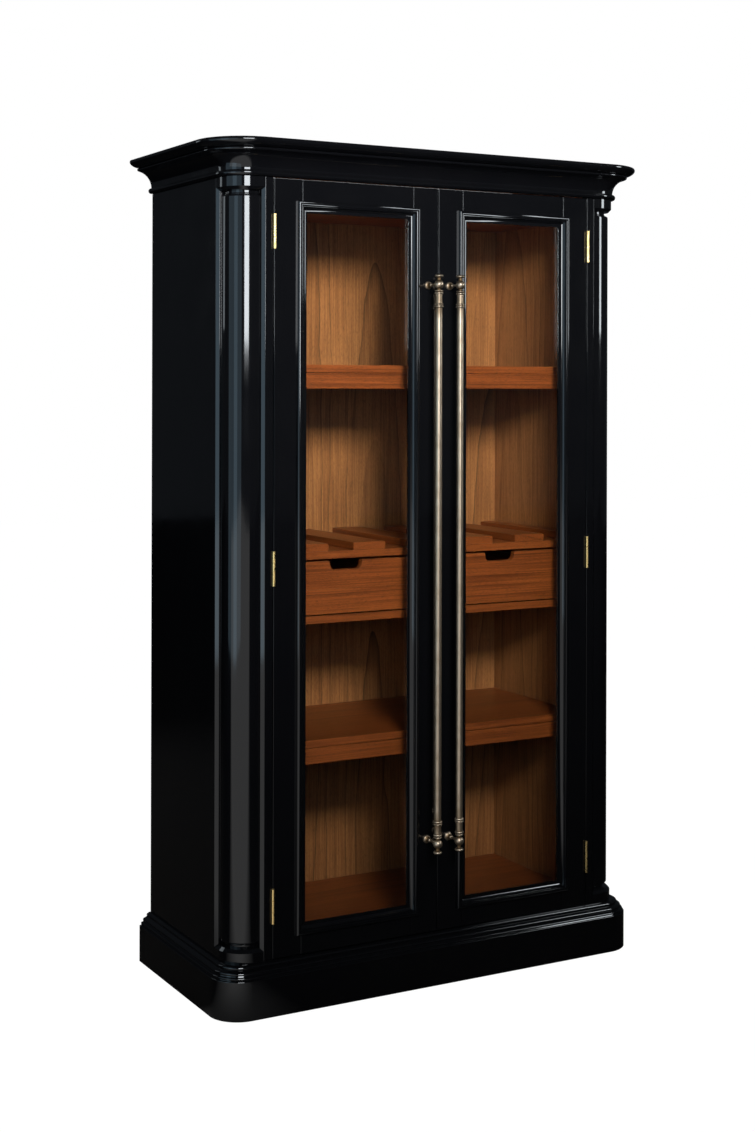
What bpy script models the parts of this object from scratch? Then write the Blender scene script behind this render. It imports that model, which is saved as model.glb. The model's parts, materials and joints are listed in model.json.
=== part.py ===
"""A tall two-door display cabinet: black lacquered case, walnut inside, brass fittings.

Metres, +Z up, the front faces -Y, and the origin is the middle of the base.
Depths are counted from the front faces of the doors, positive towards the back.
Left and right are as seen from the front, so the left side is at -X.
"""
import math

import bmesh
import bpy
from mathutils import Matrix, Vector

# Driving dimensions.
GAP = 0.0003                 # air left between pieces that touch
HEIGHT = 2.200
CASE_HALF = 0.603            # half the width over the side panels
CASE_DEPTH = 0.527           # door faces to the back
HANDLE_STANDOFF = 0.058      # door face to the handle's axis
BALL_RADIUS = 0.0123         # the widest part of the handle
PLINTH_TOP = 0.100
PLINTH_REACH = 0.032         # how far the plinth stands out past the case
PLINTH_CORNER = 0.050        # corner radius on the line of the case
PLINTH_WALL = 0.022
CASE_BOTTOM = 0.132          # top of the base moulding
CASE_TOP = 2.109             # underside of the cornice
CORNICE_CORNER = 0.071       # corner radius on the line of the case
TOP_BOARD = 0.0228           # thickness of the top board
TOP_REACH = 0.0665
BOARD = 0.020                # thickness of shelves and boards
CORNER_STEPS = 6

CORNER = 0.0948              # the square that holds each corner post
CHAMFER = 0.008              # along the front and side edges of the post's niche
NICHE = CORNER - CHAMFER
POST_CENTRE = 0.071          # the corner posts' axis, from the side and from the front
POST_RADIUS = 0.0615
BLOCK_HEIGHT = 0.0330        # square block above and below each post
BLOCK_EASE = 0.0077          # chamfer of the blocks, mitred with the one along the niche
STILE_FACE = 0.0255          # thickness of the fixed face stiles
SIDE_PANEL = 0.018
LINER = 0.008
INSIDE_HALF = 0.5115         # half the width between the wooden walls
INSIDE_BACK = 0.512          # front of the back panel
FLOOR_TOP = 0.153
CEILING = 2.0523
BLOCK_INNER = INSIDE_HALF + LINER + GAP   # hidden inner side of the blocks

DOOR_HINGE_X = 0.4846        # middle of the gap beside the hinge stile
DOOR_GAP = 0.0012            # half of every gap round the doors
DOOR_THICKNESS = 0.024
MEETING_STILE = 0.0766
HINGE_STILE_INNER = 0.404
RAIL_LOW = 0.200             # glass opening, bottom and top
RAIL_HIGH = 2.036
GLASS_FRONT = 0.0080
GLASS_THICKNESS = 0.004

HINGE_HEIGHTS = {"low": 0.268, "mid": 1.120, "top": 1.9725}
HINGE_LENGTH = 0.088
KNUCKLE_RADIUS = 0.004
HINGE_PROUD = 0.0044         # hinge axis in front of the door face
LEAF_FRONT = 0.0014          # front edge of the leaves behind the axis
LEAF_DEPTH = 0.020
LEAF_THICKNESS = 0.00075
PIN_RADIUS = 0.0017
PIN_HOLE_RADIUS = 0.0021

HANDLE_X = 0.033
HANDLE_BOTTOM = 0.355
HANDLE_TOP = 1.876
POST_INSET = 0.027           # end of the handle to the middle of its ball
ROD_RADIUS = 0.009

SHELF_FRONT = 0.067
UPPER_SHELF_TOP = 1.637
LOWER_SHELF_TOP = 0.6605
APRON_HEIGHT = 0.042
RACK_TOP = 1.150
SLAT_PITCH = 0.1696
SLAT_WIDTH = 0.0954
SLAT_SETBACK = 0.0015
BAY_TOP = 0.983              # top of the board that carries the drawers

DIVIDER_HALF = 0.0385
FILLER_INNER = 0.4425
RUNNER = 0.014               # thickness of the fillers behind their front edge
DRAWER_INNER = 0.041
DRAWER_OUTER = 0.440
DRAWER_LOW = 0.9865
DRAWER_HIGH = 1.1245
DRAWER_BOX_HIGH = 1.093
DRAWER_BOX_BACK = 0.500
DRAWER_WALL = 0.012
DRAWER_FRONT = 0.018
DRAWER_BOTTOM = 0.008
DRAWER_PLAY = 0.003          # room beside the drawer's box
DRAWER_RISE = 0.002          # the box stands this far above the foot of its front
NOTCH_WIDTH = 0.095
NOTCH_DEPTH = 0.0235
NOTCH_RADIUS = 0.015

# The origin is the middle of the whole object's box, from the handles to the back.
DOOR_FACE_Y = (HANDLE_STANDOFF + BALL_RADIUS - CASE_DEPTH) / 2

SIDES = {"left": -1, "right": 1}


def depth(distance):
    """Return the Y that lies this far behind the door faces."""
    return DOOR_FACE_Y + distance


def make_material(name, colour, roughness, metallic=0.0, transmission=0.0):
    """Return a Principled material with these values."""
    material = bpy.data.materials.new(name)
    material.use_nodes = True
    shader = material.node_tree.nodes["Principled BSDF"]
    shader.inputs["Base Color"].default_value = (*colour, 1.0)
    shader.inputs["Roughness"].default_value = roughness
    shader.inputs["Metallic"].default_value = metallic
    shader.inputs["Transmission Weight"].default_value = transmission
    return material


def place(obj, material, location=(0, 0, 0)):
    """Put a new object in the cabinet's collection, with its material."""
    obj.location = location
    obj.data.materials.clear()
    obj.data.materials.append(material)
    CABINET.objects.link(obj)
    return obj


def new_mesh(name, shape):
    """Turn a bmesh into an object that isn't in the scene yet."""
    mesh = bpy.data.meshes.new(name)
    shape.to_mesh(mesh)
    shape.free()
    return bpy.data.objects.new(name, mesh)


def box(name, low, high, material):
    """Make a box between two corners."""
    shape = bmesh.new()
    bmesh.ops.create_cube(shape, size=1.0)
    size = [b - a for a, b in zip(low, high)]
    bmesh.ops.scale(shape, vec=size, verts=shape.verts)
    middle = [(a + b) / 2 for a, b in zip(low, high)]
    return place(new_mesh(name, shape), material, middle)


def plate(name, outline, start, end, along, material):
    """Extrude a flat outline along X, Y or Z, from start to end.

    The outline's two coordinates are the other two axes: YZ, XZ or XY.
    """
    curve = bpy.data.curves.new(name, "CURVE")
    curve.dimensions = "2D"
    curve.fill_mode = "BOTH"
    curve.extrude = (end - start) / 2
    spline = curve.splines.new("POLY")
    spline.points.add(len(outline) - 1)
    for point, (u, v) in zip(spline.points, outline):
        point.co = (u, v, 0, 1)
    spline.use_cyclic_u = True
    obj = place(bpy.data.objects.new(name, curve), material)
    middle = (start + end) / 2
    if along == "Z":
        obj.location = (0, 0, middle)
    elif along == "Y":
        obj.location = (0, middle, 0)
        obj.rotation_euler = (math.pi / 2, 0, 0)
    else:
        obj.location = (middle, 0, 0)
        obj.rotation_euler = (math.pi / 2, 0, math.pi / 2)
    return obj


def turned(name, profile, steps, material, location=(0, 0, 0), tilt=0.0):
    """Turn a profile of (radius, height), listed from top to bottom, round a vertical axis."""
    mesh = bpy.data.meshes.new(name)
    points = [(radius, 0, height) for radius, height in profile]
    mesh.from_pydata(points, [(i, i + 1) for i in range(len(points) - 1)], [])
    obj = place(bpy.data.objects.new(name, mesh), material, location)
    obj.rotation_euler = (tilt, 0, 0)
    screw = obj.modifiers.new("turn", "SCREW")
    screw.steps = steps
    screw.render_steps = steps
    screw.use_merge_vertices = True
    screw.merge_threshold = 0.00001
    screw.use_smooth_shade = True
    return obj


def loft(name, rings, material, closed=False):
    """Skin rings of equal length: capped at both ends, or closed into a hoop."""
    shape = bmesh.new()
    rows = [[shape.verts.new(point) for point in ring] for ring in rings]
    pairs = list(zip(rows, rows[1:]))
    if closed:
        pairs.append((rows[-1], rows[0]))
    for lower, upper in pairs:
        for i in range(len(lower)):
            j = (i + 1) % len(lower)
            shape.faces.new((lower[i], lower[j], upper[j], upper[i]))
    if not closed:
        shape.faces.new(rows[0])
        shape.faces.new(rows[-1])
    bmesh.ops.recalc_face_normals(shape, faces=shape.faces)
    return place(new_mesh(name, shape), material)


def arc(centre_x, centre_y, radius, start, end, steps):
    """Return points on an arc, angles in degrees."""
    angles = [math.radians(start + (end - start) * i / steps) for i in range(steps + 1)]
    return [(centre_x + radius * math.cos(a), centre_y + radius * math.sin(a)) for a in angles]


def case_outline(height, reach, corner, back_wall=0.0):
    """Return the case's plan, grown by reach, with round front corners and a flat back."""
    half = CASE_HALF + reach
    front = depth(-reach)
    back = depth(CASE_DEPTH - back_wall)
    radius = corner + reach
    plan = [(-half, back)]
    plan += arc(-half + radius, front + radius, radius, 180, 270, CORNER_STEPS)
    plan += arc(half - radius, front + radius, radius, 270, 360, CORNER_STEPS)
    plan += [(half, back)]
    return [(x, y, height) for x, y in plan]


def combine(target, tool, operation):
    """Join a mesh with another, or cut it, and remove the other."""
    modifier = target.modifiers.new("combine", "BOOLEAN")
    modifier.operation = operation
    modifier.object = tool
    evaluated = target.evaluated_get(bpy.context.evaluated_depsgraph_get())
    result = bpy.data.meshes.new_from_object(evaluated)
    target.modifiers.clear()
    target.data = result
    bpy.data.objects.remove(tool)
    return target


def parent_to(empty, pieces):
    """Hang pieces on an empty without moving them."""
    for piece in pieces:
        piece.parent = empty
        piece.matrix_parent_inverse = Matrix.Translation(-empty.location)


def mirrored(points, side):
    """Return plan points for one side of the cabinet; they are given for the right side."""
    return [(side * x, y) for x, y in points]


def span(side, inner, outer):
    """Return the lower and upper X of a piece that lies between two distances from the middle."""
    return tuple(sorted((side * inner, side * outer)))


def make_base():
    """The plinth is a hollow frame; a board with a moulded edge lies on it."""
    wall = -PLINTH_WALL
    rings = [
        case_outline(0, PLINTH_REACH, PLINTH_CORNER),
        case_outline(PLINTH_TOP - 0.002, PLINTH_REACH, PLINTH_CORNER),
        case_outline(PLINTH_TOP, PLINTH_REACH - 0.002, PLINTH_CORNER),
        case_outline(PLINTH_TOP, wall, PLINTH_CORNER, PLINTH_WALL),
        case_outline(0, wall, PLINTH_CORNER, PLINTH_WALL),
    ]
    loft("plinth", rings, LACQUER, closed=True)
    edge = [  # height above the plinth and reach: fillet, bead, ogee, fillet, bead
        (GAP, 0.0275), (0.004, 0.0275), (0.0075, 0.0255), (0.0095, 0.0215), (0.0155, 0.0195),
        (0.0215, 0.0130), (0.0230, 0.0095), (0.0290, 0.0080), (0.032, 0.0040),
    ]
    rings = [case_outline(PLINTH_TOP + up, reach, PLINTH_CORNER) for up, reach in edge]
    loft("base_moulding", rings, LACQUER)


def make_cornice():
    """A hollow frame with an astragal and a cavetto, under a top board with a round edge."""
    section = [  # height above the case and reach: astragal, cavetto, bead
        (GAP, 0.0040), (0.0020, 0.0090), (0.0075, 0.0115), (0.0130, 0.0090), (0.0152, 0.0032),
        (0.0280, 0.0050), (0.0400, 0.0105), (0.0490, 0.0195), (0.0550, 0.0300), (0.0585, 0.0385),
        (0.0600, 0.0425), (0.0625, 0.0445), (0.0655, 0.0440), (0.0679, 0.0410),
    ]
    rings = [case_outline(CASE_TOP + up, reach, CORNICE_CORNER) for up, reach in section]
    wall = 0.020
    for up in (section[-1][0], section[0][0]):
        rings.append(case_outline(CASE_TOP + up, -wall, CORNICE_CORNER, wall))
    loft("cornice_moulding", rings, LACQUER, closed=True)
    edge = [  # height above the board's underside and reach: a thumb moulding
        (0, 0.0430), (0.0020, 0.0520), (0.0060, 0.0600), (0.0110, 0.0650), (0.0155, TOP_REACH),
        (0.0190, 0.0655), (0.0215, 0.0630), (TOP_BOARD, 0.0590),
    ]
    rings = [case_outline(HEIGHT - TOP_BOARD + up, reach, CORNICE_CORNER) for up, reach in edge]
    loft("cornice_top", rings, LACQUER)


def post_plan(height, radius):
    """Return the plan of the right-hand post: more than a quarter round, cut square behind."""
    inner = CASE_HALF - NICHE + 2 * GAP
    back = NICHE - 2 * GAP
    centre_x = CASE_HALF - POST_CENTRE
    rebate = depth(STILE_FACE - GAP)
    start = -90 - math.degrees(math.asin((centre_x - inner) / radius))
    end = math.degrees(math.asin((back - POST_CENTRE) / radius))
    plan = arc(centre_x, depth(POST_CENTRE), radius, start, end, 2 * CORNER_STEPS)
    plan += [(BLOCK_INNER, depth(back)), (BLOCK_INNER, rebate), (inner, rebate)]
    return [(x, y, height) for x, y in plan]


def block_plan(height, ease):
    """Return the plan of the right-hand blocks, which are flush with the case and fill the niche.

    The visible sides stand back by the ease; the hidden sides stay where they are.
    """
    inner = CASE_HALF - CORNER + 2 * GAP
    back = NICHE - 2 * GAP
    side = CORNER - 2 * GAP - ease
    rebate = depth(STILE_FACE - GAP)
    centre = CASE_HALF - POST_CENTRE, depth(POST_CENTRE)
    plan = [(inner + ease, depth(ease))]
    plan += arc(*centre, POST_CENTRE - ease, -90, 0, 2 * CORNER_STEPS)
    plan += [(CASE_HALF - ease, depth(side)), (CASE_HALF - CHAMFER, depth(back))]
    plan += [(BLOCK_INNER, depth(back)), (BLOCK_INNER, rebate)]
    plan += [(inner + CHAMFER, rebate), (inner + CHAMFER, depth(CHAMFER))]
    return [(x, y, height) for x, y in plan]


def make_corner_post(name, side):
    """A round corner post with a square block at each end, from one length of wood."""
    low = CASE_BOTTOM + GAP
    high = CASE_TOP - GAP
    bury = BLOCK_HEIGHT - BLOCK_EASE
    end = [  # radius and distance from the buried end: neck, groove, shoulder
        (0.0510, 0), (0.0510, 0.0165), (0.0525, 0.0185), (0.0525, 0.0200), (0.0570, 0.0210),
        (0.0600, 0.0235), (POST_RADIUS, 0.0290),
    ]
    profile = [(radius, low + bury + along) for radius, along in end]
    profile += [(radius, high - bury - along) for radius, along in reversed(end)]
    rings = [post_plan(height, radius) for radius, height in profile]
    post = loft(name, [[(side * x, y, z) for x, y, z in ring] for ring in rings], LACQUER)
    for end_height, inward in ((low, 1), (high, -1)):
        rings = [block_plan(end_height, 0), block_plan(end_height + inward * bury, 0)]
        rings.append(block_plan(end_height + inward * BLOCK_HEIGHT, BLOCK_EASE))
        rings = [[(side * x, y, z) for x, y, z in ring] for ring in rings]
        combine(post, loft("block", rings, LACQUER), "UNION")


def make_case():
    """Side panels, face stiles, wooden liners, back, floor and ceiling."""
    low = CASE_BOTTOM + GAP
    high = CASE_TOP - GAP
    front = depth(STILE_FACE + GAP)
    back = depth(INSIDE_BACK - GAP)
    panel_inner = CASE_HALF - SIDE_PANEL
    stile_inner = DOOR_HINGE_X + DOOR_GAP
    stile_outer = CASE_HALF - NICHE
    for name, side in SIDES.items():
        make_corner_post("corner_post_" + name, side)
        panel = [
            (BLOCK_INNER, depth(NICHE)), (CASE_HALF - CHAMFER, depth(NICHE)),
            (CASE_HALF, depth(CORNER)), (CASE_HALF, depth(CASE_DEPTH)),
            (panel_inner, depth(CASE_DEPTH)), (panel_inner, depth(CORNER)),
            (BLOCK_INNER, depth(CORNER)),
        ]
        plate("side_panel_" + name, mirrored(panel, side), low, high, "Z", LACQUER)
        stile = [
            (stile_inner, depth(0)), (stile_outer - CHAMFER, depth(0)), (stile_outer, depth(CHAMFER)),
            (stile_outer, depth(STILE_FACE)), (stile_inner, depth(STILE_FACE)),
        ]
        plate("face_stile_" + name, mirrored(stile, side), low, high, "Z", LACQUER)
        left, right = span(side, INSIDE_HALF, INSIDE_HALF + LINER)
        box("liner_" + name, (left, front, low), (right, back, CEILING - GAP), WALNUT)
    half = panel_inner - GAP
    box("back_panel", (-half, depth(INSIDE_BACK), low), (half, depth(CASE_DEPTH), high), WALNUT)
    half = INSIDE_HALF - GAP
    box("floor_panel", (-half, front, low), (half, back, FLOOR_TOP), WALNUT)
    half = INSIDE_HALF + LINER
    ceiling = [
        (front, CEILING), (back, CEILING), (back, CEILING + BOARD),
        (front + BOARD, CEILING + BOARD), (front + BOARD, high), (front, high),
    ]
    plate("ceiling_panel", ceiling, -half, half, "X", WALNUT)


def make_shelf(name, top):
    """A shelf board with a deeper apron glued under its front edge."""
    front = depth(SHELF_FRONT)
    back = depth(INSIDE_BACK - GAP)
    low = top - BOARD - APRON_HEIGHT
    section = [
        (front, low), (front + BOARD, low), (front + BOARD, top - BOARD),
        (back, top - BOARD), (back, top), (front, top),
    ]
    half = INSIDE_HALF - GAP
    plate(name, section, -half, half, "X", WALNUT)


def make_interior():
    """Two shelves, and a bay with drawers under a rack for bottles."""
    make_shelf("upper_shelf", UPPER_SHELF_TOP)
    make_shelf("lower_shelf", LOWER_SHELF_TOP)
    half = INSIDE_HALF - GAP
    front = depth(SHELF_FRONT)
    back = depth(INSIDE_BACK - GAP)
    box("drawer_board", (-half, front, BAY_TOP - BOARD), (half, back, BAY_TOP), WALNUT)
    box("rack_board", (-half, front, RACK_TOP - BOARD), (half, back, RACK_TOP), WALNUT)
    low = BAY_TOP + GAP
    high = RACK_TOP - BOARD - GAP
    box("drawer_divider", (-DIVIDER_HALF, front, low), (DIVIDER_HALF, back, high), WALNUT)
    for name, side in SIDES.items():
        runner = FILLER_INNER + RUNNER
        plan = [
            (FILLER_INNER, front), (half, front), (half, front + BOARD),
            (runner, front + BOARD), (runner, back), (FILLER_INNER, back),
        ]
        plate("drawer_filler_" + name, mirrored(plan, side), low, high, "Z", WALNUT)
    for index in range(7):
        centre = (index - 3) * SLAT_PITCH
        left = max(centre - SLAT_WIDTH / 2, -half)
        right = min(centre + SLAT_WIDTH / 2, half)
        start = (left, front + SLAT_SETBACK, RACK_TOP + GAP)
        box(f"bottle_slat_{index + 1}", start, (right, back, RACK_TOP + BOARD), WALNUT)


def make_drawer(name, side):
    """A drawer front with a finger notch, and an open box behind it."""
    centre = (DRAWER_INNER + DRAWER_OUTER) / 2
    left = centre - NOTCH_WIDTH / 2
    right = centre + NOTCH_WIDTH / 2
    floor = DRAWER_HIGH - NOTCH_DEPTH
    radius = NOTCH_RADIUS
    outline = [(DRAWER_INNER, DRAWER_LOW), (DRAWER_OUTER, DRAWER_LOW), (DRAWER_OUTER, DRAWER_HIGH)]
    outline += [(right, DRAWER_HIGH)] + arc(right - radius, floor + radius, radius, 0, -90, 4)
    outline += arc(left + radius, floor + radius, radius, -90, -180, 4) + [(left, DRAWER_HIGH)]
    outline += [(DRAWER_INNER, DRAWER_HIGH)]
    start = depth(SHELF_FRONT)
    stop = start + DRAWER_FRONT
    outline = mirrored(outline, side)
    face = plate("drawer_front_" + name, outline, start, stop, "Y", WALNUT)
    left, right = span(side, DRAWER_INNER + DRAWER_PLAY, DRAWER_OUTER - DRAWER_PLAY)
    low = (left, stop + GAP, DRAWER_LOW + DRAWER_RISE)
    high = (right, depth(DRAWER_BOX_BACK), DRAWER_BOX_HIGH)
    body = box("drawer_box_" + name, low, high, WALNUT)
    wall = DRAWER_WALL
    inside_low = (low[0] + wall, low[1] + wall, low[2] + DRAWER_BOTTOM)
    inside_high = (high[0] - wall, high[1] - wall, high[2] + wall)
    combine(body, box("drawer_hollow", inside_low, inside_high, WALNUT), "DIFFERENCE")
    slide = bpy.data.objects.new("slide_" + name, None)
    slide.location = (side * centre, start, DRAWER_LOW)
    CABINET.objects.link(slide)
    parent_to(slide, [face, body])


def mitred_frame(name, low, high, section, material):
    """Run a section round a rectangle in the door's plane, mitred at its corners.

    The section's points are (outwards from the rectangle, depth behind the door face).
    """
    corners = [(-1, -1), (1, -1), (1, 1), (-1, 1)]
    rings = []
    for sign_x, sign_z in corners:
        x = high[0] if sign_x > 0 else low[0]
        z = high[1] if sign_z > 0 else low[1]
        rings.append([(x + sign_x * out, depth(back), z + sign_z * out) for out, back in section])
    return loft(name, rings, material, closed=True)


def make_handle(name, side):
    """A long bar with turned ends, on two posts with rosettes."""
    end = [  # radius and distance from the end: button, neck, ball, neck, ring, sleeve, double ring
        (0, 0), (0.0085, 0), (0.0115, 0.002), (0.0115, 0.007), (0.0085, 0.009), (0.005, 0.0105),
        (0.005, 0.0158), (0.0095, 0.0192), (BALL_RADIUS, POST_INSET), (0.0095, 0.0348),
        (0.005, 0.0382), (0.005, 0.0412), (0.0115, 0.0440), (0.0115, 0.0510), (0.0095, 0.0540),
        (0.0095, 0.0770), (0.0122, 0.0790), (0.0122, 0.0860), (ROD_RADIUS, 0.0890),
    ]
    profile = [(radius, HANDLE_TOP - along) for radius, along in end]
    profile += [(radius, HANDLE_BOTTOM + along) for radius, along in reversed(end)]
    bar = turned(name, profile, 12, BRASS, (side * HANDLE_X, depth(-HANDLE_STANDOFF), 0))
    post = [  # radius and distance from the door face, from the ball to the rosette
        (0, 0.052), (0.0033, 0.052), (0.0033, 0.020), (0.0042, 0.008), (0.0065, 0.0035),
        (0.0097, 0.0030), (0.0097, GAP), (0, GAP),
    ]
    for height in (HANDLE_TOP - POST_INSET, HANDLE_BOTTOM + POST_INSET):
        foot = (side * HANDLE_X, depth(0), height)
        combine(bar, turned(name + "_post", post, 12, BRASS, foot, math.pi / 2), "UNION")
    return bar


def make_door(name, side):
    """Two stiles, two rails, a bolection moulding and a pane, all hung on the hinge axis."""
    hinge_edge = DOOR_HINGE_X - DOOR_GAP
    low = CASE_BOTTOM + 2 * DOOR_GAP
    high = CASE_TOP - 2 * DOOR_GAP
    front = depth(0)
    back = depth(DOOR_THICKNESS)
    left, right = span(side, HINGE_STILE_INNER, hinge_edge)
    pieces = [box("hinge_stile_" + name, (left, front, low), (right, back, high), LACQUER)]
    left, right = span(side, DOOR_GAP, MEETING_STILE)
    pieces.append(box("meeting_stile_" + name, (left, front, low), (right, back, high), LACQUER))
    left, right = span(side, MEETING_STILE + GAP, HINGE_STILE_INNER - GAP)
    for rail, bottom, top in (("top_rail_", RAIL_HIGH, high), ("bottom_rail_", low, RAIL_LOW)):
        pieces.append(box(rail + name, (left, front, bottom), (right, back, top), LACQUER))
    section = [  # round outer bead, cove, inner bead and the lip that holds the pane
        (0.0160, -GAP), (0.0160, -0.0060), (0.0145, -0.0100), (0.0110, -0.0120),
        (0.0065, -0.0115), (0.0040, -0.0085), (0, -0.0060), (-0.0050, -0.0038),
        (-0.0090, -0.0034), (-0.0125, -0.0020), (-0.0135, 0.0010),
        (-0.0135, GLASS_FRONT - GAP), (-GAP, GLASS_FRONT - GAP), (-GAP, -GAP),
    ]
    left, right = span(side, MEETING_STILE, HINGE_STILE_INNER)
    frame = (left, RAIL_LOW), (right, RAIL_HIGH)
    pieces.append(mitred_frame("glazing_moulding_" + name, *frame, section, LACQUER))
    slit = 2 * GAP
    pane_low = (left + slit, depth(GLASS_FRONT), RAIL_LOW + slit)
    pane_high = (right - slit, depth(GLASS_FRONT + GLASS_THICKNESS), RAIL_HIGH - slit)
    pieces.append(box("glass_pane_" + name, pane_low, pane_high, GLASS))
    pieces.append(make_handle("handle_" + name, side))
    pieces += make_hinges(name, side)
    axis = bpy.data.objects.new("hinge_axis_" + name, None)
    axis.location = (side * DOOR_HINGE_X, depth(-HINGE_PROUD), HINGE_HEIGHTS["mid"])
    CABINET.objects.link(axis)
    parent_to(axis, pieces)


def make_leaf(name, knuckles, cut, hole):
    """Make a hinge leaf about the hinge axis at the origin; it lies at -X and runs back to +Y."""
    outer = -LEAF_THICKNESS - GAP / 2
    half = HINGE_LENGTH / 2
    low = (outer, LEAF_FRONT, -half)
    leaf = box(name, low, (-GAP / 2, HINGE_PROUD + LEAF_DEPTH, half), BRASS)
    reach = KNUCKLE_RADIUS + GAP
    for start, stop in cut:
        clear = box("clear", (-reach, -reach, start), (reach, reach + GAP, stop), BRASS)
        combine(leaf, clear, "DIFFERENCE")
    for start, stop in knuckles:
        wall = [(0, stop), (KNUCKLE_RADIUS, stop), (KNUCKLE_RADIUS, start), (0, start)]
        combine(leaf, turned("knuckle", wall, 12, BRASS), "UNION")
    radius, reach = (PIN_HOLE_RADIUS, half) if hole else (PIN_RADIUS, half / 2)
    pin = [(0, reach), (radius, reach), (radius, -reach), (0, -reach)]
    return combine(leaf, turned("pin", pin, 12, BRASS), "DIFFERENCE" if hole else "UNION")


def make_hinges(name, side):
    """Three butt hinges: the case leaf carries the pin, the door leaf turns on it."""
    door_leaves = []
    for level, height in HINGE_HEIGHTS.items():
        for kind, shape in LEAVES.items():
            leaf = bpy.data.objects.new(f"hinge_{kind}_leaf_{name}_{level}", shape)
            CABINET.objects.link(leaf)
            leaf.location = (side * DOOR_HINGE_X, depth(-HINGE_PROUD), height)
            if side > 0:
                leaf.rotation_euler = (0, math.pi, 0)
            if kind == "door":
                door_leaves.append(leaf)
    return door_leaves


def make_leaf_shapes():
    """Return the meshes of the two kinds of leaf, each shared by six hinges."""
    third = HINGE_LENGTH / 6
    half = HINGE_LENGTH / 2
    ends = [(-half, -third - GAP / 2), (third + GAP / 2, half)]
    middle = [(-third + GAP / 2, third - GAP / 2)]
    case = make_leaf("case_leaf", ends, [(-third - GAP / 2, third + GAP / 2)], hole=False)
    clear = [(-half - GAP, -third + GAP / 2), (third - GAP / 2, half + GAP)]
    door = make_leaf("door_leaf", middle, clear, hole=True)
    shapes = {}
    for kind, leaf, mirror in (("case", case, 1), ("door", door, -1)):
        mesh = leaf.data
        mesh.transform(leaf.matrix_world)
        if mirror < 0:
            mesh.transform(Matrix.Scale(-1, 4, (1, 0, 0)))
            mesh.flip_normals()
        mesh.name = kind + "_leaf"
        shapes[kind] = mesh
        bpy.data.objects.remove(leaf)
    return shapes


for old in list(bpy.data.objects):
    bpy.data.objects.remove(old)

CABINET = bpy.data.collections.new("display_cabinet")
bpy.context.scene.collection.children.link(CABINET)
LACQUER = make_material("black_lacquer", (0.004, 0.005, 0.007), 0.08)
WALNUT = make_material("walnut_veneer", (0.28, 0.12, 0.05), 0.45)
BRASS = make_material("aged_brass", (0.52, 0.38, 0.20), 0.35, metallic=1.0)
GLASS = make_material("clear_glass", (0.95, 0.97, 0.96), 0.02, transmission=1.0)

LEAVES = make_leaf_shapes()
make_base()
make_cornice()
make_case()
make_interior()
for side_name, side_sign in SIDES.items():
    make_drawer(side_name, side_sign)
    make_door(side_name, side_sign)
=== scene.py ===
# %% [markdown]
# # A black lacquered display cabinet with a walnut inside
#
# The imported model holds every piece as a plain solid, each on the body that it moves with. This
# lesson dresses those solids: it gives each its real edges, mouldings and finish, in the same
# frame, so that nothing has to be fitted afterwards. The frame is loaded first, and its box kept.

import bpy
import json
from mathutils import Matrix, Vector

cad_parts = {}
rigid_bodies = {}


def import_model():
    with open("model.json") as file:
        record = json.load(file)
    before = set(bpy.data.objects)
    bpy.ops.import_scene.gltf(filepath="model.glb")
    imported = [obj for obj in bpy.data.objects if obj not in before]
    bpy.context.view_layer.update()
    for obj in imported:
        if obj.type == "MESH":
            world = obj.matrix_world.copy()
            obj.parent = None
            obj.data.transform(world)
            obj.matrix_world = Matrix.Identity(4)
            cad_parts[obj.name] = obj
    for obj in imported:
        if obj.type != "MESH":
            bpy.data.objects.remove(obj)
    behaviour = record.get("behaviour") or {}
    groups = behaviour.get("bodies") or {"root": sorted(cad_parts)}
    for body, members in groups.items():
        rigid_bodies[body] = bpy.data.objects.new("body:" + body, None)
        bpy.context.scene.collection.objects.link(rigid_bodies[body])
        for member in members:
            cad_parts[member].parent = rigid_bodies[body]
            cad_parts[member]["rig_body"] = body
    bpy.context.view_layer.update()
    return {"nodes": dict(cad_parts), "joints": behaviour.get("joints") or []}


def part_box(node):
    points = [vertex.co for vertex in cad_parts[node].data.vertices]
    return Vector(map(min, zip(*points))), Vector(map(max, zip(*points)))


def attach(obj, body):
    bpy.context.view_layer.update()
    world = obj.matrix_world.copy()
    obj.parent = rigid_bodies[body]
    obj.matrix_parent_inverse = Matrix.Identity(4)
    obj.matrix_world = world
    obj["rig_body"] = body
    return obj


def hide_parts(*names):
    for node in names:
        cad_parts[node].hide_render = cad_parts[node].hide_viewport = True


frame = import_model()

# %% The rest of the imports
import json
import math

import bmesh
import bpy
from mathutils import Matrix, Vector

# %% [markdown]
# ## Sizes from the frame
#
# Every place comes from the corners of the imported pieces. The front faces of the doors are the
# plane that a cabinet maker measures from, so depths are counted backwards from it.

# %% Main planes of the case
MM = 0.001
SIDES = {"left": -1, "right": 1}
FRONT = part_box("hinge_stile_left")[0].y
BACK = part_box("side_panel_left")[1].y
CASE_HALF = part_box("side_panel_right")[1].x
CASE_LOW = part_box("base_moulding")[1].z
CASE_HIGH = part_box("cornice_moulding")[0].z
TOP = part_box("cornice_top")[1].z
POST = 71 * MM                 # the corner posts' axes, from the side and from the front
print(f"case {2 * CASE_HALF:.3f} wide, {BACK - FRONT:.3f} deep, {CASE_LOW:.3f} to {CASE_HIGH:.3f} high")

# %% [markdown]
# ## One helper for nodes
#
# Materials and Geometry Nodes are both trees, so one small function serves both. It adds a node,
# sets its properties, fills or links its inputs, and hands back the output that is wanted.

# %% Add a node
def node(tree, kind, inputs=None, out=0, **settings):
    """Add a node, set it up, link or fill its inputs, and return one of its outputs."""
    made = tree.nodes.new(kind)
    for name, value in settings.items():
        setattr(made, name, value)
    for key, value in (inputs or {}).items():
        if isinstance(value, bpy.types.NodeSocket):
            tree.links.new(value, made.inputs[key])
        else:
            made.inputs[key].default_value = value
    return made.outputs[out] if made.outputs else made


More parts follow.
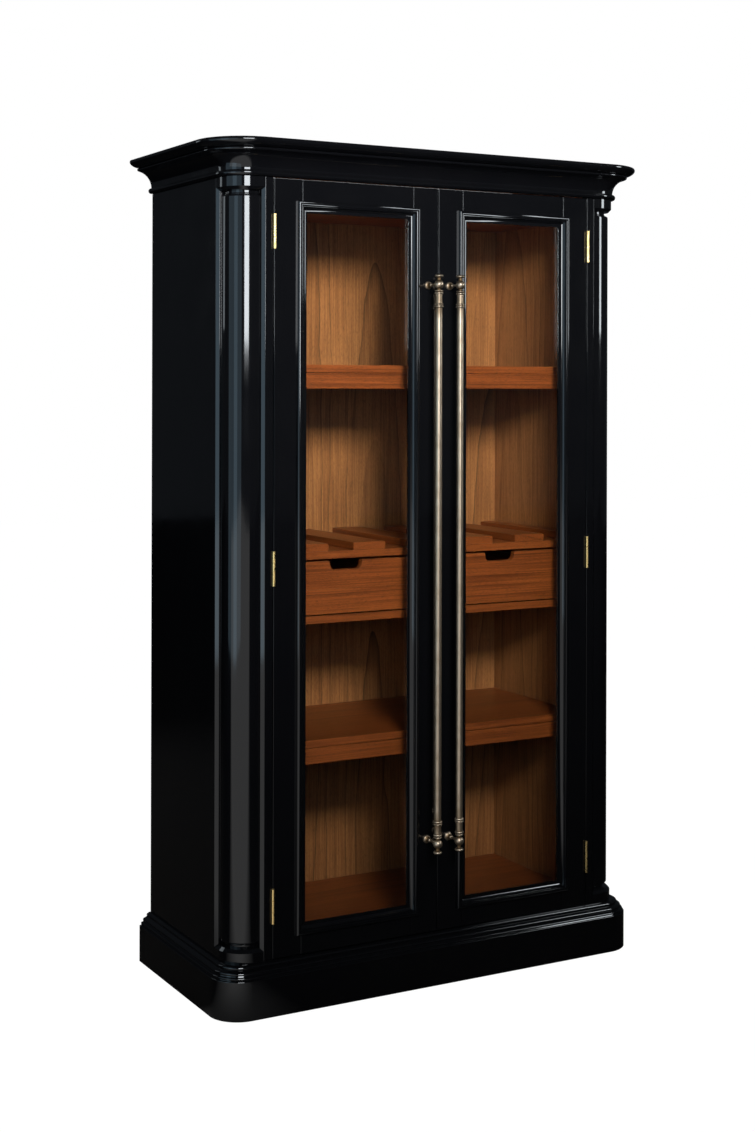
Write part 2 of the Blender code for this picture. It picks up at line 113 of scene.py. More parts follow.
# %% Colours and the start of a finish
def linear(code):
    """Turn an sRGB hex colour into the linear RGBA that shaders work in."""
    channels = [int(code[i:i + 2], 16) / 255 for i in (1, 3, 5)]
    rgb = [c / 12.92 if c <= 0.04045 else ((c + 0.055) / 1.055) ** 2.4 for c in channels]
    return (*rgb, 1.0)


def start_finish(name, **constants):
    """Start a material whose Principled shader has these constant inputs."""
    material = bpy.data.materials.new(name)
    material.use_nodes = True
    shader = material.node_tree.nodes["Principled BSDF"]
    for socket, value in constants.items():
        shader.inputs[socket.replace("_", " ")].default_value = value
    return material, material.node_tree, shader


def plug(tree, shader, color, roughness, normal=None):
    """Link a finish's patterns to its shader."""
    for socket, value in (("Base Color", color), ("Roughness", roughness), ("Normal", normal)):
        if value:
            tree.links.new(value, shader.inputs[socket])


# %% [markdown]
# ## Black lacquer
#
# The case is sprayed with many coats of black polyester lacquer, then sanded and polished. The eye
# gets a nearly black body and a hard, wet-looking reflection, with two small faults that tell it
# from glass: an orange peel a few millimetres across, which makes long reflections waver, and
# patches of polishing haze where the gloss is a touch softer.

# %% Black polyester lacquer, sprayed and polished
PEEL_SIZE = 9 * MM
HAZE_SIZE = 120 * MM

LACQUER, tree, shader = start_finish("black_polyester_lacquer_polished", IOR=1.5)
place = node(tree, "ShaderNodeTexCoord", out="Object")
haze = node(tree, "ShaderNodeTexNoise", {"Vector": place, "Scale": 1 / HAZE_SIZE, "Detail": 3.0})
gloss = node(tree, "ShaderNodeMapRange", {0: haze, 1: 0.35, 2: 0.65, 3: 0.05, 4: 0.09})
body = node(tree, "ShaderNodeMix", {0: haze, 6: linear("#050609"), 7: linear("#08090c")}, out=2,
            data_type="RGBA")
peel = node(tree, "ShaderNodeTexNoise", {"Vector": place, "Scale": 1 / PEEL_SIZE, "Detail": 1.0})
wave = node(tree, "ShaderNodeBump", {"Height": peel, "Strength": 0.08, "Distance": 0.1 * MM})
plug(tree, shader, body, gloss, wave)
print("made", LACQUER.name)

# %% [markdown]
# ## Walnut
#
# Inside, the back and the walls are plywood faced with walnut veneer, and the shelves, slats and
# drawers are solid walnut under a satin varnish. Both come from a log whose growth rings are long
# nested shells. Cutting a board through them gives the thin dark arches and long parallel lines,
# so the pattern is made the same way: the distance from a far stretched centre, cut into rings.
# Each board, and each 300 mm leaf of veneer, gets its own part of the log.

# %% A walnut finish with its grain along one axis
LEAF = 300 * MM                # width of a leaf of veneer
RING = 26 * MM                 # from one dark line to the next
STREAK = 3.0 * MM              # width of the fine streaks
PORE = 0.9 * MM                # drawn a little coarse, so that it shows
STRETCH = 0.055                # how slender the arches are


def walnut(name, grain, light, dark, line, veneer=False, roughness=0.36):
    """Return a walnut material; grain is the axis that it runs along."""
    material, tree, shader = start_finish(name, Roughness=roughness, IOR=1.46)
    place = node(tree, "ShaderNodeTexCoord", out="Object")
    axes = node(tree, "ShaderNodeSeparateXYZ", {0: place}).node.outputs
    along = axes[grain]
    across, through = [axes[axis] for axis in "XYZ" if axis != grain]
    board = node(tree, "ShaderNodeAttribute", out="Fac", attribute_name="board")
    if veneer:
        across = node(tree, "ShaderNodeMath", {0: across, 1: through}, operation="ADD")
        leaf = node(tree, "ShaderNodeMath", {0: across, 1: LEAF}, operation="DIVIDE")
        leaf = node(tree, "ShaderNodeMath", {0: leaf}, operation="FLOOR")
        middle = node(tree, "ShaderNodeMath", {0: leaf, 1: LEAF, 2: LEAF / 2}, operation="MULTIPLY_ADD")
        across = node(tree, "ShaderNodeMath", {0: across, 1: middle}, operation="SUBTRACT")
        board = node(tree, "ShaderNodeMath", {0: leaf, 1: 0.37, 2: board}, operation="MULTIPLY_ADD")
    seed = node(tree, "ShaderNodeTexWhiteNoise", {"W": board}, out="Color", noise_dimensions="1D")
    chance = node(tree, "ShaderNodeSeparateColor", {0: seed}).node.outputs
    shift = node(tree, "ShaderNodeMath", {0: chance[0], 1: 0.16, 2: -0.08}, operation="MULTIPLY_ADD")
    slide = node(tree, "ShaderNodeMath", {0: chance[1], 1: 3.0, 2: -1.5}, operation="MULTIPLY_ADD")
    depth = node(tree, "ShaderNodeMath", {0: chance[2], 1: 0.05, 2: 0.01}, operation="MULTIPLY_ADD")
    across = node(tree, "ShaderNodeMath", {0: across, 1: shift}, operation="ADD")
    along = node(tree, "ShaderNodeMath", {0: along, 1: slide}, operation="ADD")
    through = depth if veneer else node(tree, "ShaderNodeMath", {0: through, 1: depth}, operation="ADD")

    # The log's rings, bent by slow noise that is stretched along the grain.
    slow = node(tree, "ShaderNodeCombineXYZ", {0: along, 1: across, 2: through})
    bend = node(tree, "ShaderNodeVectorMath", {0: slow, 1: (2.6, 9.0, 9.0)}, operation="MULTIPLY")
    bend = node(tree, "ShaderNodeTexNoise", {"Vector": bend, "Scale": 1.0, "Detail": 3.0})
    bent = node(tree, "ShaderNodeMath", {0: bend, 1: 0.05, 2: across}, operation="MULTIPLY_ADD")
    bent = node(tree, "ShaderNodeMath", {0: bent, 1: 0.025}, operation="SUBTRACT")
    far = node(tree, "ShaderNodeMath", {0: along, 1: STRETCH}, operation="MULTIPLY")
    spot = node(tree, "ShaderNodeCombineXYZ", {0: far, 1: bent, 2: through})
    reach = node(tree, "ShaderNodeVectorMath", {0: spot}, out="Value", operation="LENGTH")
    rings = node(tree, "ShaderNodeMath", {0: reach, 1: RING}, operation="DIVIDE")
    number = node(tree, "ShaderNodeMath", {0: rings}, operation="FLOOR")
    number = node(tree, "ShaderNodeMath", {0: number, 1: board}, operation="ADD")
    strong = node(tree, "ShaderNodeTexWhiteNoise", {"W": number}, noise_dimensions="1D")
    phase = node(tree, "ShaderNodeMath", {0: rings}, operation="FRACT")
    late = node(tree, "ShaderNodeMath", {0: phase, 1: 14.0}, operation="POWER")
    late = node(tree, "ShaderNodeMath", {0: late, 1: strong}, operation="MULTIPLY")

    # Fine streaks and short pores.
    fine = node(tree, "ShaderNodeVectorMath", {0: slow, 1: (5.0, 1 / STREAK, 1 / STREAK)},
                operation="MULTIPLY")
    streak = node(tree, "ShaderNodeTexNoise", {"Vector": fine, "Scale": 1.0, "Detail": 4.0})
    streak = node(tree, "ShaderNodeMapRange", {0: streak, 1: 0.32, 2: 0.68, 3: 0.0, 4: 1.0})
    dash = node(tree, "ShaderNodeVectorMath", {0: slow, 1: (90.0, 1 / PORE, 1 / PORE)},
                operation="MULTIPLY")
    pore = node(tree, "ShaderNodeTexNoise", {"Vector": dash, "Scale": 1.0, "Detail": 2.0})
    pore = node(tree, "ShaderNodeMapRange", {0: pore, 1: 0.54, 2: 0.68, 3: 0.0, 4: 1.0})
    tone = node(tree, "ShaderNodeMath", {0: bend, 1: 0.5, 2: 0.06}, operation="MULTIPLY_ADD")
    tone = node(tree, "ShaderNodeMath", {0: streak, 1: 0.5, 2: tone}, operation="MULTIPLY_ADD")
    tone = node(tree, "ShaderNodeMath", {0: phase, 1: 0.16, 2: tone}, operation="MULTIPLY_ADD")
    wood = node(tree, "ShaderNodeMix", {0: tone, 6: linear(light), 7: linear(dark)}, out=2,
                data_type="RGBA")
    late = node(tree, "ShaderNodeMath", {0: late, 1: 0.85}, operation="MULTIPLY")
    wood = node(tree, "ShaderNodeMix", {0: late, 6: wood, 7: linear(line)}, out=2, data_type="RGBA")
    speck = node(tree, "ShaderNodeMath", {0: pore, 1: 0.52}, operation="MULTIPLY")
    wood = node(tree, "ShaderNodeMix", {0: speck, 6: wood, 7: linear(line)}, out=2, data_type="RGBA")
    relief = node(tree, "ShaderNodeBump", {"Height": pore, "Strength": 0.15, "Distance": 0.1 * MM},
                  invert=True)
    tree.links.new(wood, shader.inputs["Base Color"])
    tree.links.new(relief, shader.inputs["Normal"])
    return material


# %% The walnut finishes
VENEER = walnut("walnut_veneer_satin", "Z", "#bf8252", "#744628", "#24140b", veneer=True,
                roughness=0.42)
SOLID_COLOURS = ("#a45629", "#602d13", "#220e07")
WALNUT = {axis: walnut(f"walnut_solid_satin_{axis.lower()}", axis, *SOLID_COLOURS) for axis in "XYZ"}
print("made", VENEER.name, *[finish.name for finish in WALNUT.values()])

# %% [markdown]
# ## Brass
#
# The bar handles are turned brass with an antique finish: the metal is darkened, then rubbed back,
# so the proud rings and the rod are pale and the hollows stay brown. The turning function below
# stores how deep each ring lies in an attribute called hollow, and the finish reads it. The butt
# hinges are plain polished brass, a little brighter and yellower.

# %% Antique brass, turned and rubbed back
BRUSH = 1.2 * MM               # fine marks round the turning, drawn coarse enough to show

AGED_BRASS, tree, shader = start_finish("antique_brass_turned_rubbed", Metallic=1.0)
place = node(tree, "ShaderNodeTexCoord", out="Object")
hollow = node(tree, "ShaderNodeAttribute", out="Fac", attribute_name="hollow")
cloud = node(tree, "ShaderNodeTexNoise", {"Vector": place, "Scale": 1 / (35 * MM), "Detail": 5.0})
rub = node(tree, "ShaderNodeMapRange", {0: cloud, 1: 0.42, 2: 0.72, 3: 0.0, 4: 0.45})
worn = node(tree, "ShaderNodeMath", {0: rub, 1: hollow}, operation="ADD", use_clamp=True)
metal = node(tree, "ShaderNodeMix", {0: worn, 6: linear("#b09e89"), 7: linear("#6d573e")}, out=2,
             data_type="RGBA")
dull = node(tree, "ShaderNodeMapRange", {0: worn, 1: 0.0, 2: 1.0, 3: 0.38, 4: 0.52})
ring = node(tree, "ShaderNodeVectorMath", {0: place, 1: (1.0, 1.0, 1 / BRUSH)}, operation="MULTIPLY")
ring = node(tree, "ShaderNodeTexNoise", {"Vector": ring, "Scale": 1.0, "Detail": 2.0})
marks = node(tree, "ShaderNodeBump", {"Height": ring, "Strength": 0.12, "Distance": 0.05 * MM})
plug(tree, shader, metal, dull, marks)
print("made", AGED_BRASS.name)

# %% Polished brass, drawn and buffed
POLISHED_BRASS, tree, shader = start_finish("polished_brass_drawn", Metallic=1.0)
place = node(tree, "ShaderNodeTexCoord", out="Object")
film = node(tree, "ShaderNodeTexNoise", {"Vector": place, "Scale": 1 / (12 * MM), "Detail": 4.0})
metal = node(tree, "ShaderNodeMix", {0: film, 6: linear("#ffe09a"), 7: linear("#ecc27a")}, out=2,
             data_type="RGBA")
dull = node(tree, "ShaderNodeMapRange", {0: film, 1: 0.3, 2: 0.7, 3: 0.22, 4: 0.36})
plug(tree, shader, metal, dull)
print("made", POLISHED_BRASS.name)

# %% [markdown]
# ## Glass
#
# The panes are 4 mm clear float glass. Light has to reach the shelves through them, so the pane is
# a see-through shader with a mirror on top of it, mixed by Fresnel: about 4% at right angles and
# more at a slant. Float glass is faintly green, and it carries a trace of dust.

# %% Clear float glass
GLASS = bpy.data.materials.new("clear_float_glass")
GLASS.use_nodes = True
tree = GLASS.node_tree
tree.nodes.clear()
place = node(tree, "ShaderNodeTexCoord", out="Object")
dust = node(tree, "ShaderNodeTexNoise", {"Vector": place, "Scale": 1 / (60 * MM), "Detail": 6.0})
grey = node(tree, "ShaderNodeMix", {0: dust, 6: linear("#fbfdfc"), 7: linear("#f3f8f6")}, out=2,
            data_type="RGBA")
clear = node(tree, "ShaderNodeBsdfTransparent", {"Color": grey})
mirror = node(tree, "ShaderNodeBsdfGlossy", {"Roughness": 0.03})
angle = node(tree, "ShaderNodeFresnel", {"IOR": 1.45})
pane = node(tree, "ShaderNodeMixShader", {0: angle, 1: clear, 2: mirror})
node(tree, "ShaderNodeOutputMaterial", {"Surface": pane})
print("made", GLASS.name)

# %% [markdown]
# ## The camera
#
# The cabinet is seen from the left at eye height. The camera is held level, so upright edges stay
# upright, and a small downward shift frames the whole piece, as a view camera would.

# %% Camera
CAMERA_AT = Vector((-2.3895, -4.1858, 1.5819))
TURN = 0.5083                  # to the right of straight ahead, in radians
ROLL = 0.0026

view = bpy.data.cameras.new("camera")
view.lens = 55.24
view.shift_y = -0.159
camera = bpy.data.objects.new("camera", view)
turned_right = Matrix.Rotation(-TURN, 4, "Z") @ Matrix.Rotation(math.pi / 2, 4, "X")
camera.matrix_world = Matrix.Translation(CAMERA_AT) @ turned_right @ Matrix.Rotation(ROLL, 4, "Z")
bpy.context.scene.collection.objects.link(camera)
bpy.context.scene.camera = camera
print("camera at", [round(c, 2) for c in CAMERA_AT])

# %% [markdown]
# ## Studio
#
# Black lacquer shows what stands round it more than what shines on it. The pale floor runs into a
# white backdrop, but the rest of the studio is dim, or the black would turn grey. The panels that
# are seen in the round posts only give gloss: a bright one in front, above eye level, a broad dim
# one on the left, a narrow one on the right and one behind. Lamps that no gloss picks up light the
# wood. The angles are counted at the left post, where the panels show most.

# %% World and floor
scene = bpy.context.scene
scene.view_settings.view_transform = "Standard"
world = bpy.data.worlds.new("studio")
scene.world = world
world.use_nodes = True
tree = world.node_tree
tree.nodes.clear()
seen = node(tree, "ShaderNodeLightPath", out="Is Camera Ray")
dim = node(tree, "ShaderNodeBackground", {"Color": linear("#8f98a3"), "Strength": 0.1})
white = node(tree, "ShaderNodeBackground", {"Color": (1, 1, 1, 1), "Strength": 1.0})
mixed = node(tree, "ShaderNodeMixShader", {0: seen, 1: dim, 2: white})
node(tree, "ShaderNodeOutputWorld", {"Surface": mixed})

PALE, tree, shader = start_finish("pale_studio_floor")
tree.nodes.clear()
place = node(tree, "ShaderNodeTexCoord", out="Object")
place = node(tree, "ShaderNodeSeparateXYZ", {0: place}).node.outputs
# For every ray but the camera's, the floor glows: a painted pool of light on the floor to the front left,
# fading to painted shade near the case and to its right. The lacquer reflects this painted light and shade.
on_left = node(tree, "ShaderNodeMapRange", {0: place[0], 1: -0.4, 2: -0.8, 3: 0.0, 4: 1.0})
in_front = node(tree, "ShaderNodeMapRange", {0: place[1], 1: -0.1, 2: -0.5, 3: 0.0, 4: 1.0})
painted_floor_glow = node(tree, "ShaderNodeMath", {0: on_left, 1: in_front}, operation="MULTIPLY")
painted_floor_glow = node(tree, "ShaderNodeMath", {0: painted_floor_glow, 1: 0.7}, operation="MULTIPLY")
sheet = node(tree, "ShaderNodeEmission", {"Color": (1, 1, 1, 1), "Strength": painted_floor_glow})
seen = node(tree, "ShaderNodeLightPath", out="Is Camera Ray")
glow = node(tree, "ShaderNodeEmission", {"Color": (1, 1, 1, 1), "Strength": 1.0})
matt = node(tree, "ShaderNodeBsdfDiffuse", {"Color": linear("#3c3c3c")})
light = node(tree, "ShaderNodeMixShader", {0: seen, 1: sheet, 2: glow})
floor_shader = node(tree, "ShaderNodeAddShader", {0: matt, 1: light})
node(tree, "ShaderNodeOutputMaterial", {"Surface": floor_shader})

FLOOR_HALF = 15.0
mesh = bpy.data.meshes.new("floor")
corners = [(x * FLOOR_HALF, y * FLOOR_HALF, 0) for x, y in ((-1, -1), (1, -1), (1, 1), (-1, 1))]
mesh.from_pydata(corners, [], [(0, 1, 2, 3)])
mesh.materials.append(PALE)
floor = bpy.data.objects.new("floor", mesh)
scene.collection.objects.link(floor)
print("world and floor ready")


# %% Softboxes
POST_AXIS = Vector((POST - CASE_HALF, FRONT + POST, 0.0))


def softbox(name, left_of_front, away, height, size, power, colour, target, serves="both", spread=180):
    """Stand an area light at an angle in degrees to the left of the front, seen from the left post."""
    lamp = bpy.data.lights.new(name, "AREA")
    lamp.shape = "RECTANGLE"
    lamp.size, lamp.size_y = size
    lamp.energy = power
    lamp.color = linear(colour)[:3]
    lamp.spread = math.radians(spread)
    angle = math.radians(left_of_front)
    at = POST_AXIS + Vector((-math.sin(angle) * away, -math.cos(angle) * away, height))
    aim = (Vector(target) - at).to_track_quat("-Z", "Y").to_matrix().to_4x4()
    light = bpy.data.objects.new(name, lamp)
    light.matrix_world = Matrix.Translation(at) @ aim
    light.visible_camera = False
    light.visible_glossy = serves in ("gloss", "both")
    light.visible_diffuse = serves in ("wood", "both")
    scene.collection.objects.link(light)


softbox("panel_front", 17, 4.0, 2.70, (1.55, 1.9), 185, "#f4faff", (-0.5, FRONT, 1.7), "gloss")
softbox("panel_left", 73, 3.0, 1.7, (3.9, 2.6), 32, "#a9c8dc", (-0.5, FRONT, 1.4), "gloss")
softbox("panel_left_bright", 68.5, 2.9, 1.7, (0.87, 2.6), 9, "#a9c8dc", (-0.5, FRONT, 1.4), "gloss")
softbox("panel_behind", 143.5, 3.2, 2.5, (0.84, 1.4), 6, "#dfeaf2", (-0.5, FRONT, 1.4), "gloss")
softbox("panel_right", -57, 4.0, 2.6, (0.7, 1.6), 50, "#eef6fb", (0.3, FRONT, 1.7), "gloss")
softbox("shelf_lamp", 7.5, 3.35, 2.75, (0.9, 0.7), 34, "#fff4e4", (0.0, FRONT, 1.95), "wood", 60)
softbox("fill_lamp", 26.5, 3.35, 2.3, (2.4, 1.6), 16, "#fff8ee", (0.0, FRONT, 1.9), "wood", 100)
softbox("back_lamp", 172, 3.5, 2.2, (2.5, 2.0), 40, "#ffffff", (0.0, FRONT, 1.4), "wood")

# %% [markdown]
# ## From shape to finished piece
#
# Each piece goes through the same three steps. Its modifiers are turned into a plain mesh; its
# normals are weighed by face area, so that a polished flat stays a true mirror right up to its
# rounded arris; and it is hung on the body of the solid that it stands for.

# %% Plain meshes and pieces
SHARP = math.radians(38)


def plain(obj):
    """Turn an object with modifiers into a mesh, and remove the object."""
    bpy.context.view_layer.update()
    evaluated = obj.evaluated_get(bpy.context.evaluated_depsgraph_get())
    mesh = bpy.data.meshes.new_from_object(evaluated)
    bpy.data.objects.remove(obj)
    return mesh


def carry(name, mesh):
    """Put a mesh in the scene for a moment, so that modifiers can work on it."""
    obj = bpy.data.objects.new(name, mesh)
    scene.collection.objects.link(obj)
    return obj


def dress(mesh, arris=0.0, steps=2):
    """Round a mesh's arrises, if asked, and weigh its normals."""
    mesh.shade_smooth()
    obj = carry("dress", mesh)
    if arris:
        bevel = obj.modifiers.new("arris", "BEVEL")
        bevel.width = arris
        bevel.segments = steps
        bevel.limit_method = "ANGLE"
        bevel.angle_limit = math.radians(25)
    else:
        mesh.set_sharp_from_angle(angle=SHARP)
    weigh = obj.modifiers.new("weigh", "WEIGHTED_NORMAL")
    weigh.keep_sharp = True
    return plain(obj)


def add_piece(name, mesh, finish, slot, *nodes, body=None):
    """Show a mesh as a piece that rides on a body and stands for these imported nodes."""
    mesh.materials.clear()
    mesh.materials.append(finish)
    mesh.polygons.foreach_set("material_index", [0] * len(mesh.polygons))
    piece = bpy.data.objects.new(name, mesh)
    scene.collection.objects.link(piece)
    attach(piece, body or frame["nodes"][nodes[0]]["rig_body"])
    if nodes:
        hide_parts(*nodes)
    print(f"{name}: {len(mesh.polygons)} faces")
    return piece


# %% [markdown]
# ## Boards
#
# Stiles, rails, panels and shelves are sawn boards whose arrises are broken with fine sandpaper. On
# polished black that tenth of a millimetre matters: it is what draws the thin bright line along
# every joint. A board is a cube pulled to size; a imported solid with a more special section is
# copied, its loose triangles merged, and its arrises rounded in the same way.

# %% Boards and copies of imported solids
def new_mesh(shape, name="shape"):
    """Close a bmesh into a mesh with its faces outwards."""
    bmesh.ops.recalc_face_normals(shape, faces=shape.faces)
    mesh = bpy.data.meshes.new(name)
    shape.to_mesh(mesh)
    shape.free()
    return mesh


def skin(rings, loop=False):
    """Skin rings of equal length, capped at both ends or closed in a loop."""
    shape = bmesh.new()
    rows = [[shape.verts.new(point) for point in ring] for ring in rings]
    for lower, upper in zip(rows, rows[1:] + (rows[:1] if loop else [])):
        for i in range(len(lower)):
            j = (i + 1) % len(lower)
            shape.faces.new((lower[i], lower[j], upper[j], upper[i]))
    if not loop:
        shape.faces.new(rows[0])
        shape.faces.new(rows[-1])
    return new_mesh(shape)


def board(low, high, seed=0.0, arris=0.7 * MM):
    """A board between two corners, with rounded arrises and its own part of the log."""
    shape = bmesh.new()
    bmesh.ops.create_cube(shape, size=1.0)
    for vertex in shape.verts:
        vertex.co = [a + (c + 0.5) * (b - a) for a, b, c in zip(low, high, vertex.co)]
    return mark(dress(new_mesh(shape), arris), seed)


def mark(mesh, seed):
    """Store the number that picks a board's part of the log."""
    store = mesh.attributes.new("board", "FLOAT", "FACE")
    store.data.foreach_set("value", [seed] * len(mesh.polygons))
    return mesh


def copied(name, arris=0.7 * MM, seed=0.0):
    """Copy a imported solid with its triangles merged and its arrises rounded."""
    shape = bmesh.new()
    shape.from_mesh(frame["nodes"][name].data)
    bmesh.ops.remove_doubles(shape, verts=shape.verts, dist=0.01 * MM)
    bmesh.ops.dissolve_limit(shape, angle_limit=math.radians(1), verts=shape.verts, edges=shape.edges)
    mesh = bpy.data.meshes.new(name)
    shape.to_mesh(mesh)
    shape.free()
    return mark(dress(mesh, arris), seed)


def joined(*meshes):
    """Put several meshes in one, each keeping its attributes and its normals."""
    objects = [carry("part", mesh) for mesh in meshes]
    for obj in objects:
        obj.select_set(True)
    bpy.context.view_layer.objects.active = objects[0]
    with bpy.context.temp_override(active_object=objects[0], selected_editable_objects=objects):
        bpy.ops.object.join()
    mesh = objects[0].data
    bpy.data.objects.remove(objects[0])
    return mesh


# %% [markdown]
# ## Mouldings round the case
#
# The plinth, the base moulding and the cornice are lengths of moulded wood that run from the back,
# round two curved corners, and to the back again. That is a sweep: a path, its two corners rounded
# by a Fillet Curve node, and a profile carried along it by Curve to Mesh. The same node tree makes
# all four; only the profile and the corner radius change. A profile's points are (reach outwards
# from the case, height), and its round parts are arcs. From below, the cornice is a half round, a
# deep cove and a bead, under a top board with a thumb-shaped edge.

# %% The node tree that runs a moulding
def new_tree(name, **sockets):
    """Start a Geometry Nodes tree with these named inputs, and return it with its input node."""
    tree = bpy.data.node_groups.new(name, "GeometryNodeTree")
    tree.interface.new_socket("Geometry", in_out="OUTPUT", socket_type="NodeSocketGeometry")
    tree.interface.new_socket("Geometry", in_out="INPUT", socket_type="NodeSocketGeometry")
    for label, kind in sockets.items():
        tree.interface.new_socket(label.replace("_", " "), in_out="INPUT", socket_type="NodeSocket" + kind)
    return tree, tree.nodes.new("NodeGroupInput").outputs


def end_tree(tree, geometry, finish):
    """End a tree as the export needs it: no instances left, and the finish set."""
    geometry = node(tree, "GeometryNodeRealizeInstances", {0: geometry})
    geometry = node(tree, "GeometryNodeSetMaterial", {0: geometry, "Material": finish})
    node(tree, "NodeGroupOutput", {0: geometry})


def grown(tree, base, **values):
    """Run a tree on an object with these input values, and return the plain mesh."""
    modifier = base.modifiers.new("grow", "NODES")
    modifier.node_group = tree
    for item in tree.interface.items_tree:
        label = item.name.replace(" ", "_")
        if item.in_out == "INPUT" and label in values:
            modifier[item.identifier] = values[label]
    return plain(base)


MOULDING_TREE, given = new_tree("moulding_run", Profile="Object", Corner_Radius="Float", Corner_Steps="Int",
                                Finish="Material")
path = node(MOULDING_TREE, "GeometryNodeMeshToCurve", {0: given["Geometry"]})
path = node(MOULDING_TREE, "GeometryNodeFilletCurve",
            {0: path, "Radius": given["Corner Radius"], "Count": given["Corner Steps"]}, mode="POLY")
profile = node(MOULDING_TREE, "GeometryNodeObjectInfo", {"Object": given["Profile"]}, out="Geometry")
profile = node(MOULDING_TREE, "GeometryNodeMeshToCurve", {0: profile})
run = node(MOULDING_TREE, "GeometryNodeCurveToMesh", {0: path, 1: profile, "Fill Caps": True})
end_tree(MOULDING_TREE, run, given["Finish"])
print("tree", MOULDING_TREE.name)


# %% Profiles and runs
def line_mesh(name, points, closed=False):
    """A mesh of points joined by edges only."""
    edges = [(i, i + 1) for i in range(len(points) - 1)]
    if closed:
        edges.append((len(points) - 1, 0))
    mesh = bpy.data.meshes.new(name)
    mesh.from_pydata(points, edges, [])
    return mesh


def arc(centre_x, centre_y, radius, start, end, steps=8):
    """Points on an arc, with its angles in degrees."""
    angles = [math.radians(start + (end - start) * i / steps) for i in range(steps + 1)]
    return [(centre_x + radius * math.cos(a), centre_y + radius * math.sin(a)) for a in angles]


def fresh_faces(mesh):
    """Point a mesh's faces outwards."""
    shape = bmesh.new()
    shape.from_mesh(mesh)
    return new_mesh(shape)


def moulding(section, corner, steps=24):
    """Run a profile of (reach, height) round the case."""
    run_path = [(-CASE_HALF, BACK, 0), (-CASE_HALF, FRONT, 0), (CASE_HALF, FRONT, 0), (CASE_HALF, BACK, 0)]
    base = carry("moulding", line_mesh("moulding", run_path))
    profile = carry("profile", line_mesh("profile", [(x, -z, 0) for x, z in section], closed=True))
    mesh = grown(MOULDING_TREE, base, Profile=profile, Corner_Radius=corner, Corner_Steps=steps,
                 Finish=LACQUER)
    bpy.data.objects.remove(profile)
    return dress(fresh_faces(mesh))


def case_slab(low, high, corner, steps=24):
    """A board with the case's plan and two round corners."""
    half = CASE_HALF
    plan = [(-half, BACK)] + arc(corner - half, FRONT + corner, corner, 180, 270, steps)
    plan += arc(half - corner, FRONT + corner, corner, 270, 360, steps) + [(half, BACK)]
    return dress(skin([[(x, y, z) for x, y in plan] for z in (low, high)]))


# %% Plinth and base moulding
PLINTH_CORNER = 50 * MM
CORNICE_CORNER = 71 * MM
plinth_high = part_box("plinth")[1]
PLINTH_TOP = plinth_high.z
PLINTH_REACH = plinth_high.x - CASE_HALF

section = [(-22 * MM, 0), (PLINTH_REACH - 1 * MM, 0), (PLINTH_REACH, 1 * MM)]
section += arc(PLINTH_REACH - 2.5 * MM, PLINTH_TOP - 2.5 * MM, 2.5 * MM, 0, 90, 5)
section += [(-22 * MM, PLINTH_TOP)]
add_piece("black_plinth", moulding(section, PLINTH_CORNER), LACQUER, "black_lacquer", "plinth")

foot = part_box("base_moulding")[0].z
section = [(0, foot), (27.5 * MM, foot)]
section += arc(24.2 * MM, foot + 4.2 * MM, 3.6 * MM, -50, 90, 8)
section += [(22.0 * MM, foot + 8.4 * MM)]
section += arc(17.5 * MM, foot + 13.4 * MM, 4.6 * MM, -40, 80, 8)
section += [(15.5 * MM, foot + 19.2 * MM), (13.2 * MM, foot + 20.2 * MM)]
section += arc(6.0 * MM, foot + 24.6 * MM, 5.4 * MM, -35, 88, 8)
section += [(4.0 * MM, CASE_LOW), (0, CASE_LOW)]
base_run = moulding(section, PLINTH_CORNER)
base_run = joined(base_run, case_slab(foot, CASE_LOW, PLINTH_CORNER))
add_piece("black_base_moulding", base_run, LACQUER, "black_lacquer", "base_moulding")

# %% Cornice
def smooth_line(points, steps=4):
    """A smooth line through points: a Catmull-Rom curve."""
    ends = [points[0]] + points + [points[-1]]
    curve = []
    for near in zip(ends, ends[1:], ends[2:], ends[3:]):
        a, b, c, d = [Vector(point) for point in near]
        for t in [i / steps for i in range(steps)]:
            bend = 2 * a - 5 * b + 4 * c - d + t * (3 * b - a - 3 * c + d)
            curve.append(tuple(b + t / 2 * (c - a + t * bend)))
    return curve + [points[-1]]


at = CASE_HIGH
section = [(-20 * MM, at), (4.6 * MM, at)]
section += arc(4.0 * MM, at + 7.5 * MM, 7.5 * MM, -82, 82, 14)
section += arc(47.4 * MM, at + 15.4 * MM, 44.2 * MM, 180, 101.6, 22)
section += arc(40.6 * MM, at + 63.6 * MM, 3.9 * MM, -68, 78, 10)
board_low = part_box("cornice_top")[0].z
section += [(41.0 * MM, board_low), (-20 * MM, board_low)]
cornice = moulding(section, CORNICE_CORNER, 40)
add_piece("black_cornice_moulding", cornice, LACQUER, "black_lacquer", "cornice_moulding")

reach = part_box("cornice_top")[1].x - CASE_HALF
thumb = [(43.0, 0), (52.0, 2.0), (60.0, 6.0), (65.0, 11.0), (reach / MM, 15.5), (65.5, 19.0), (63.0, 21.5)]
thumb = [(x * MM, board_low + z * MM) for x, z in thumb] + [(59.0 * MM, TOP)]
top_board = moulding([(0, board_low)] + smooth_line(thumb) + [(0, TOP)], CORNICE_CORNER, 40)
top_board = joined(top_board, case_slab(board_low, TOP, CORNICE_CORNER, 40))
add_piece("black_top_board", top_board, LACQUER, "black_lacquer", "cornice_top")

# %% [markdown]
# ## Corner posts
#
# Each front corner is a round post, 61.5 mm in radius, set between two chamfered edges. Its axis is
# 71 mm in from the side and from the front. At both ends the wood keeps the full 71 mm, flush with
# the case, and is chamfered like the edges beside the post. The post's plan stays the same over its
# length and only its radius changes, so it is lofted: one ring of points for every step of the
# collar, skinned together.

# %% Corner posts
NICHE = 86.8 * MM              # width of the post's niche
CHAMFER = 8 * MM
BLOCK = 33 * MM                # height of the flush ends
REBATE = 25.2 * MM             # front of the hidden back of the post
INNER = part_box("corner_post_right")[0].x + CHAMFER


